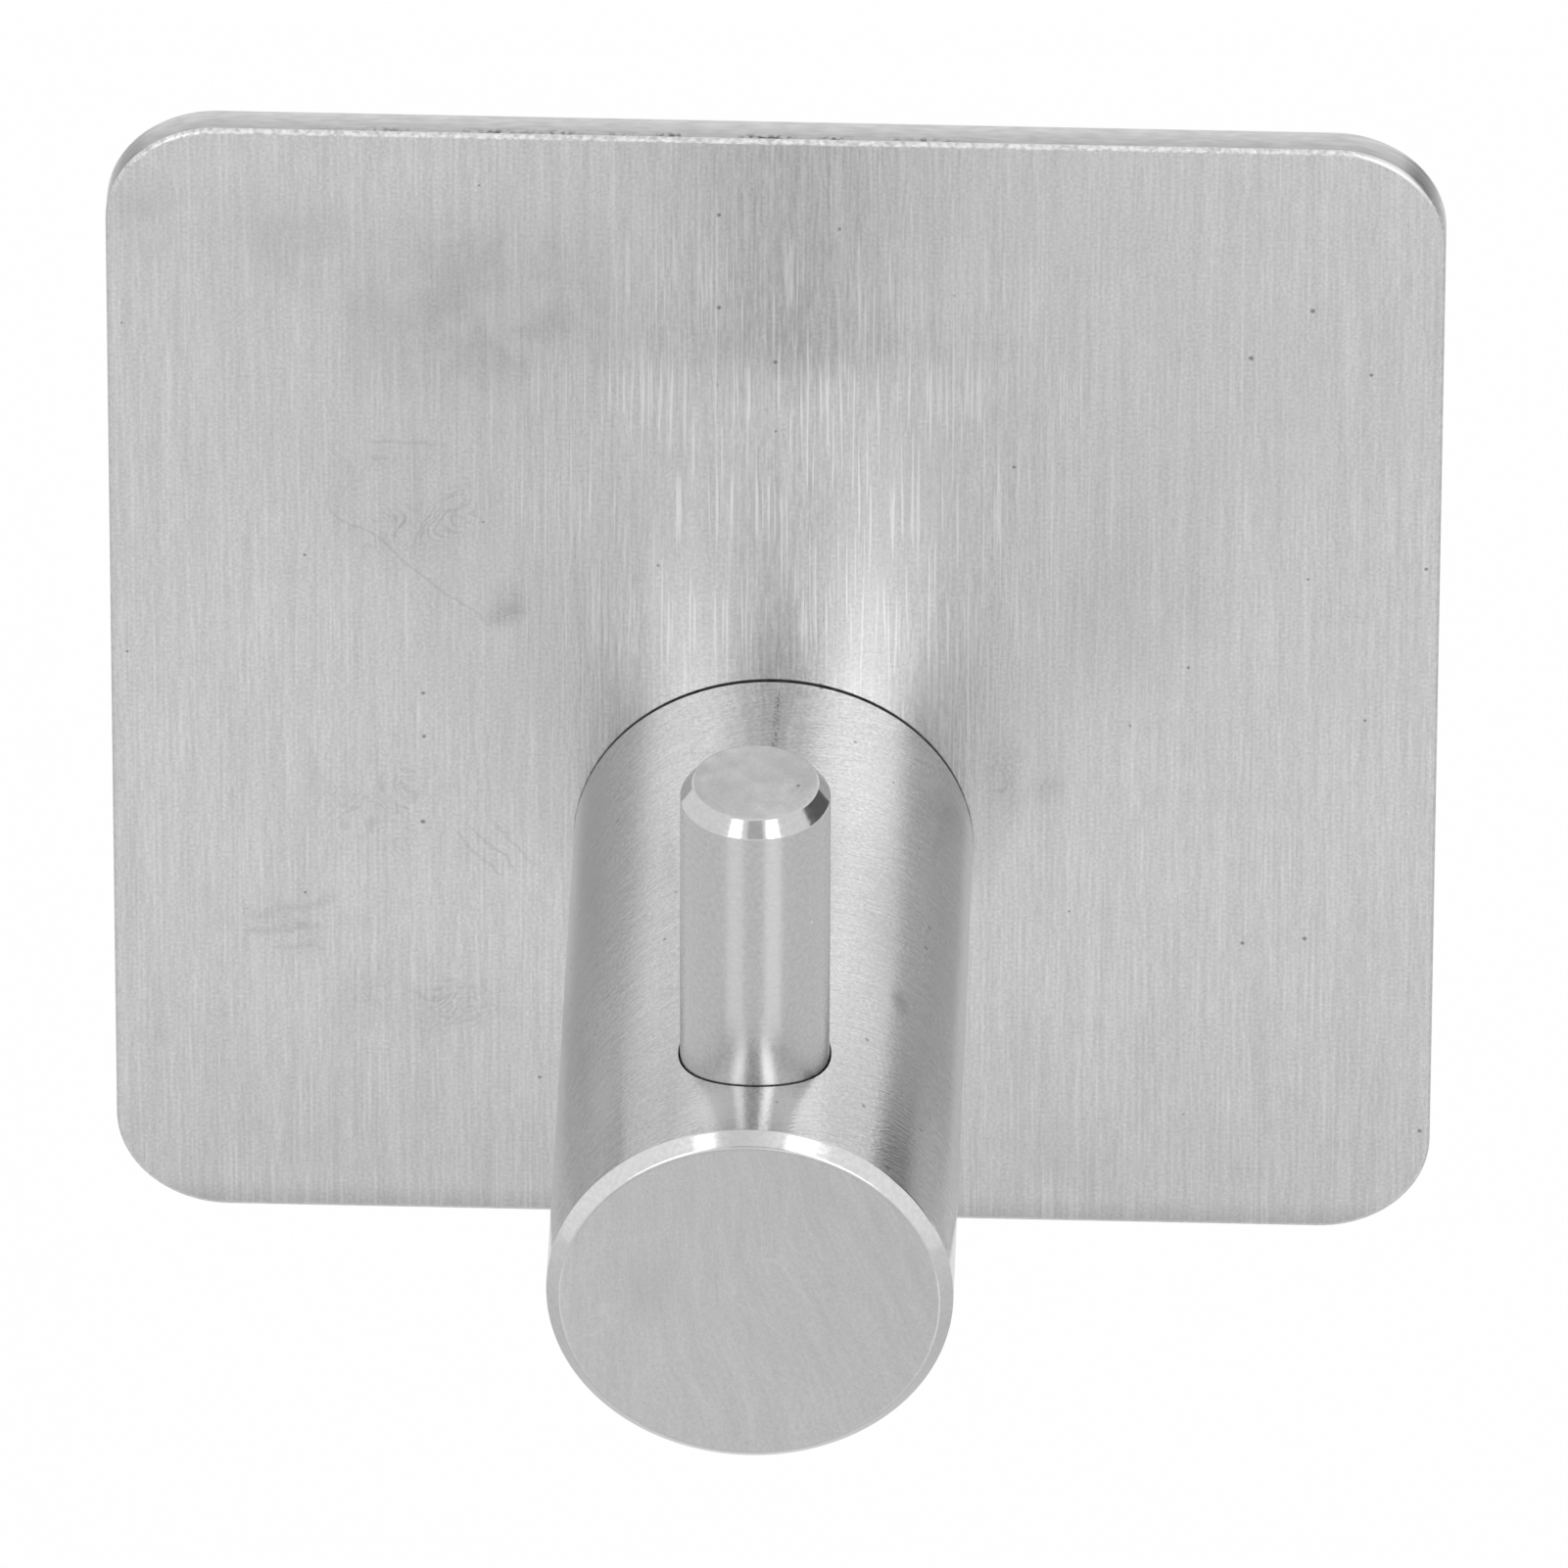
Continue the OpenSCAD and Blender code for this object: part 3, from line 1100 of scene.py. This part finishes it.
outOfWall = Vector((0, -1, 0))
upright = Vector((0, 0, 1))

# Fixing screw and the room that it takes, in mm
screw = {
    "headRadius": 2.75,
    "shankRadius": 1.5,
    "rim": 0.2,
    "tipChamfer": 0.4,
    "tipShrink": 0.2,
    "gap": 0.05,
    "lead": 1.0,  # by which the room runs past the head
    "runOut": 1.0,
    "drillDepth": 0.93,
    "sides": 64,
    "recessSpan": 2.8,
    "recessWidth": 0.7,
    "recessDepth": 1.1,
    "recessTaper": 0.72,
    "neck": 0.3,  # from the head's cone down to the core
    "pitch": 0.5,
    "threadDepth": 0.24,
    "threadRoot": 0.04,  # by which the ridge goes into the core
    "threadTurns": 10,
    "threadSteps": 48,
    "threadWidth": 0.42,  # of the ridge at its root
    "threadCrest": 0.1,  # width of its crest as a share of that
    "threadCorners": 4,  # of the ridge's section
}
screwLow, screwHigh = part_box("fixing_screw")
screwStart = Vector(((screwLow.x + screwHigh.x) / 2, screwHigh.y, (screwLow.z + screwHigh.z) / 2))
screwLength = (screwHigh.y - screwLow.y) / mm


def screwTool(name):
    head = screw["headRadius"] + screw["gap"]
    shank = screw["shankRadius"] + screw["gap"]
    deep = screwLength + screw["runOut"]
    rings = [(-screw["lead"], head), (screw["rim"], head), (screw["rim"] + head - shank, shank),
             (deep, shank), (deep + screw["drillDepth"], 0)]
    return turnBar(name, screwStart, outOfWall, rings, screw["sides"])


def windThread(core, at):
    # The ridge's section is drawn beside the axis, wound upwards and then laid along the screw
    root = (core - screw["threadRoot"]) * mm
    crest = screw["shankRadius"] * mm
    wide = screw["threadWidth"] * mm
    startPiece()
    middle = ((root + crest) / 2, 0, wide / 2)
    bpy.ops.mesh.primitive_plane_add(size=1, location=middle, rotation=(pi / 2, 0, 0))
    bpy.context.object.scale = (crest - root, wide, 1)
    ridge = settle("threadRidge")
    pickEdges(ridge, lambda first, second: nearly(first.x, crest) and nearly(second.x, crest))
    bpy.ops.transform.resize(value=(1, 1, screw["threadCrest"]), center_override=(crest, 0, wide / 2))
    bpy.ops.mesh.select_all(action="SELECT")
    bpy.ops.mesh.delete(type="ONLY_FACE")
    bpy.ops.object.mode_set(mode="OBJECT")
    steps = screw["threadSteps"]
    useModifier(ridge, "SCREW", axis="Z", angle=2 * pi, screw_offset=screw["pitch"] * mm,
                iterations=screw["threadTurns"], steps=steps, render_steps=steps,
                use_merge_vertices=True, merge_threshold=modelling["merge"] * mm)
    editAll()
    bpy.ops.mesh.fill_holes(sides=screw["threadCorners"])
    faceOutwards()
    ridge.location = screwStart + outOfWall * at * mm
    ridge.rotation_euler = outOfWall.to_track_quat("Z", "Y").to_euler()
    bakePlace()
    return ridge


def buildScrew():
    head = screw["headRadius"]
    core = screw["shankRadius"] - screw["threadDepth"]
    cone = screw["rim"] + head - screw["shankRadius"]
    neck = cone + screw["neck"]
    rings = [(0, head), (screw["rim"], head), (cone, screw["shankRadius"]), (neck, core),
             (screwLength - screw["tipChamfer"], core), (screwLength, core - screw["tipShrink"])]
    piece = turnBar("crossScrew", screwStart, outOfWall, rings, screw["sides"])
    size = (screw["recessSpan"] * mm, 2 * screw["recessDepth"] * mm, screw["recessWidth"] * mm)
    deep = screwStart.y - screw["recessDepth"] * mm
    floor = (screwStart.x, deep, screwStart.z)
    for turn in (0, pi / 2):
        startPiece()
        bpy.ops.mesh.primitive_cube_add(size=1, location=screwStart, rotation=(0, turn, 0), scale=size)
        arm = settle("recessTool")
        pickEdges(arm, onLevel(deep))
        bpy.ops.transform.resize(value=(screw["recessTaper"],) * 3, center_override=floor)
        bpy.ops.object.mode_set(mode="OBJECT")
        combine(piece, arm)
    combine(piece, windThread(core, neck), "UNION")
    smoothPiece(piece)
    dress(piece, [screwSteel])
    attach(piece, "hook")
    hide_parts("fixing_screw")


# Plate, in mm
plate = {
    "cornerRadius": 3.8,
    "cornerSteps": 24,
    "edgeRadius": 0.15,
    "edgeSteps": 6,
    "backBreak": 0.05,
    # Share of a face's normal that points to the wall, where each kind of face begins, with the rim between
    "backFrom": 0.9,
    "edgeFrom": -0.05,
    "frontTo": -0.995,
}


def buildPlate():
    low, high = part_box("backplate")
    startPiece()
    bpy.ops.mesh.primitive_cube_add(size=1, location=(low + high) / 2, scale=high - low)
    piece = settle("brushedPlate")
    corners = plate["cornerRadius"], plate["cornerSteps"]
    bevelEdges(piece, lambda first, second: not nearly(first.y, second.y), *corners)
    bevelEdges(piece, onLevel(low.y), plate["edgeRadius"], plate["edgeSteps"])
    bevelEdges(piece, onLevel(high.y), plate["backBreak"], 1)
    combine(piece, screwTool("countersinkTool"))
    smoothPiece(piece)
    layMap(piece, lambda point, face: (point.x, point.z))

    def finishOf(face):
        if face.normal.y > plate["backFrom"] or face.normal.y < plate["frontTo"]:
            return 0
        return 1 if face.normal.y > plate["edgeFrom"] else 2

    dress(piece, [plateSteel, edgeSteel, rimSteel], finishOf)
    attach(piece, "hook")
    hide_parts("backplate")


# Turned pieces
def roundMap(start, along, across):
    # Unrolls a turned side: metres along the bar, then metres round it
    other = along.cross(across)

    def angleOf(point):
        away = outFrom(start, along, point)
        return atan2(away.dot(other), away.dot(across))

    def rule(point, face):
        middle = angleOf(face.center)
        turn = (angleOf(point) - middle + pi) % (2 * pi) - pi
        return ((point - start).dot(along), (middle + turn) * outFrom(start, along, face.center).length)
    return rule


def tiltsOf(tip, chamfer, soften):
    # Angles by which a turned bar's normals tilt towards its tip, at mm along the bar
    across, along = chamfer
    cone = atan2(across, along)
    outer, inner = (width * cos(cone) for width in soften)
    shoulder = tip - along
    return [(shoulder - soften[0], 0), (shoulder + outer, cone), (tip - inner, cone), (tip, pi / 2)]


def tiltAt(tilts, at):
    for (lastAt, lastTilt), (nextAt, nextTilt) in zip(tilts, tilts[1:]):
        if at <= nextAt:
            return lastTilt + (nextTilt - lastTilt) * max(0, (at - lastAt) / (nextAt - lastAt))
    return tilts[-1][1]


def shadeRound(piece, start, along, tilts, isTurned):
    # The side and the chamfer keep the normals of a true cylinder and a true cone
    mesh = piece.data
    normals = [Vector(corner.vector) for corner in mesh.corner_normals]
    for face in filter(isTurned, mesh.polygons):
        for loop in face.loop_indices:
            point = mesh.vertices[mesh.loops[loop].vertex_index].co
            tilt = tiltAt(tilts, (point - start).dot(along) / mm)
            normals[loop] = outFrom(start, along, point).normalized() * cos(tilt) + along * sin(tilt)
    mesh.normals_split_custom_set(normals)


# Peg, in mm
peg = {
    "chamfer": (0.4, 0.55),  # across and along
    "soften": (0.04, 0.05),  # on the outer and the inner edge of a chamfer
    "softenSteps": 2,
    "sides": 144,
    # Share of a face's normal along the peg, up to where it is side, and from where it is top
    "sideTo": 0.02,
    "topFrom": 0.98,
}
pegLow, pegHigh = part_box("peg")
pegStart = Vector(((pegLow.x + pegHigh.x) / 2, (pegLow.y + pegHigh.y) / 2, pegLow.z))
pegRadius = (pegHigh.x - pegLow.x) / 2 / mm
pegLength = (pegHigh.z - pegLow.z) / mm


def buildPeg():
    across, along = peg["chamfer"]
    nose = pegRadius - across
    rings = [(0, nose), (along, pegRadius), (pegLength - along, pegRadius), (pegLength, nose)]
    piece = turnBar("chamferedPeg", pegStart, upright, rings, peg["sides"])
    outer, inner = peg["soften"]
    for ring, soften in zip(rings, (inner, outer, outer, inner)):
        bevelEdges(piece, onRing(pegStart, upright, *ring), soften, peg["softenSteps"])
    smoothPiece(piece)

    def isTop(face):
        return abs(face.normal.z) > peg["topFrom"]

    middle = pegStart.z + pegLength / 2 * mm
    tilts = tiltsOf(pegLength, peg["chamfer"], peg["soften"])
    shadeRound(piece, pegStart, upright, tilts, lambda face: face.center.z > middle and not isTop(face))
    unroll = roundMap(pegStart, upright, -outOfWall)
    layMap(piece, lambda point, face: (
        outFrom(pegStart, upright, point).xy if isTop(face) else unroll(point, face)))

    def finishOf(face):
        if isTop(face):
            return 1
        return 0 if abs(face.normal.z) < peg["sideTo"] else 2

    dress(piece, [pegSteel, turnedSteel, pegChamferSteel], finishOf)
    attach(piece, "hook")
    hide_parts("peg")


# Post, in mm
post = {
    "chamfer": 0.45,
    "footBreak": 0.09,
    "soften": (0.04, 0.1),  # on the outer and the inner edge of the chamfer
    "softenSteps": 2,
    "sides": 240,
    "pegGap": 0.06,
    "pegLead": 2,  # by which the peg's hole runs past the peg's top
    "near": 0.1,  # slack where faces are told apart
    # Share of a face's normal that points out of the wall, where each kind of face ends or begins
    "footTo": -0.1,
    "sideTo": 0.02,
    "fannedFrom": 0.8,
    "brushedFrom": 0.9,
    "frontFrom": 0.999,
}
postLow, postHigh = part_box("post")
postStart = Vector(((postLow.x + postHigh.x) / 2, postHigh.y, (postLow.z + postHigh.z) / 2))
postRadius = (postHigh.x - postLow.x) / 2 / mm
postLength = (postHigh.y - postLow.y) / mm


def buildPost():
    broken = postRadius - post["footBreak"]
    rim = postRadius - post["chamfer"]
    shoulder = postLength - post["chamfer"]
    rings = [(0, broken), (post["footBreak"], postRadius), (shoulder, postRadius), (postLength, rim)]
    piece = turnBar("turnedPost", postStart, outOfWall, rings, post["sides"])
    for ring, soften in zip(rings[2:], post["soften"]):
        bevelEdges(piece, onRing(postStart, outOfWall, *ring), soften, post["softenSteps"])
    hole = pegRadius + post["pegGap"]
    holeRings = [(0, hole), (pegLength + post["pegLead"], hole)]
    combine(piece, turnBar("pegHoleTool", pegStart, upright, holeRings, peg["sides"]))
    combine(piece, screwTool("tapTool"))
    smoothPiece(piece)

    def isBeyond(face, radius):
        return outFrom(postStart, outOfWall, face.center).length > (radius - post["near"]) * mm

    def isSide(face):
        away = outFrom(postStart, outOfWall, face.center)
        outward = face.normal.dot(away) > 0
        return abs(face.normal.dot(outOfWall)) < post["sideTo"] and outward and isBeyond(face, postRadius)

    def isChamfer(face):
        return post["sideTo"] < face.normal.dot(outOfWall) < post["frontFrom"] and isBeyond(face, rim)

    tilts = tiltsOf(postLength, (post["chamfer"], post["chamfer"]), post["soften"])
    shadeRound(piece, postStart, outOfWall, tilts, lambda face: isSide(face) or isChamfer(face))
    unroll = roundMap(postStart, outOfWall, upright)
    fan = Vector(faceFinish["fanFrom"]) * mm

    def grainOf(point, face):
        if face.normal.dot(outOfWall) < post["fannedFrom"]:
            return unroll(point, face)
        away = outFrom(postStart, outOfWall, point)
        across, down = away.x - fan.x, fan.y - away.z
        return (atan2(across, down) * fan.y, -hypot(across, down))

    layMap(piece, grainOf)

    def finishOf(face):
        facing = face.normal.dot(outOfWall)
        if isSide(face):
            return 0
        if isChamfer(face):
            return 1 if facing > post["brushedFrom"] else 2
        out = (face.center - postStart).dot(outOfWall)
        if facing > post["frontFrom"] and out > (postLength - post["near"]) * mm:
            return 1
        # The groove at the foot takes the painted shade
        return 4 if facing < post["footTo"] and isBeyond(face, broken) else 3

    dress(piece, [postSteel, faceSteel, postChamferSteel, boreSteel, jointShadeSteel], finishOf)
    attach(piece, "hook")
    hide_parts("post")


# Adhesive pad, as layers of one outline with a soft edge
pad = {
    "cornerRadius": 2.3,
    "cornerSteps": 12,
    # Edges: shares of the thickness, and mm by which the outline grows there
    "foamEdge": [
        (0.0, -0.04), (0.06, 0.03), (0.25, 0.1), (0.5, 0.13), (0.75, 0.1), (0.94, 0.03), (1.0, -0.04),
    ],
    "filmEdge": [(0.0, -0.05), (0.3, 0.0), (0.7, 0.0), (1.0, -0.05)],
    "linerEdge": [(0.0, -0.01), (0.2, 0.0), (0.8, 0.0), (1.0, -0.01)],
    "smooth": 50,  # degrees
    "fill": 0.95,
}


def layPad(name, node, edge, material, body):
    low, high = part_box(node)
    middle = (low + high) / 2
    half = (high.x - low.x) / 2
    startPiece()
    bpy.ops.mesh.primitive_plane_add(
        size=2 * (half + edge[0][1] * mm), location=(middle.x, high.y, middle.z), rotation=(pi / 2, 0, 0))
    piece = settle(name)
    editAll()
    bpy.ops.mesh.bevel(offset=pad["cornerRadius"] * mm, segments=pad["cornerSteps"], affect="VERTICES")
    for (lastShare, lastSwell), (share, swell) in zip(edge, edge[1:]):
        deep = (low.y - high.y) * (share - lastShare)
        bpy.ops.mesh.extrude_region_move(TRANSFORM_OT_translate={"value": (0, deep, 0)})
        growth = (half + swell * mm) / (half + lastSwell * mm)
        at = high.y + (low.y - high.y) * share
        bpy.ops.transform.resize(value=(growth, 1, growth), center_override=(middle.x, at, middle.z))
    closeMesh()
    smoothPiece(piece, pad["smooth"])
    dress(piece, [material])
    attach(piece, body)
    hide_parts(node)
    return piece


def buildPad():
    foam = layPad("foamPad", "foam_carrier", pad["foamEdge"], padFoam, "hook")
    for name, node in (("wallFilm", "wall_side_adhesive"), ("plateFilm", "plate_side_adhesive")):
        layPad(name, node, pad["filmEdge"], adhesiveFilm, "hook")
    layPad("paperLiner", "release_liner", pad["linerEdge"], linerPaper, "liner")


buildPlate()
print("plate built")
buildPost()
print("post built")
buildPeg()
print("peg built")
buildScrew()
print("screw built")
buildPad()
print("pad built")
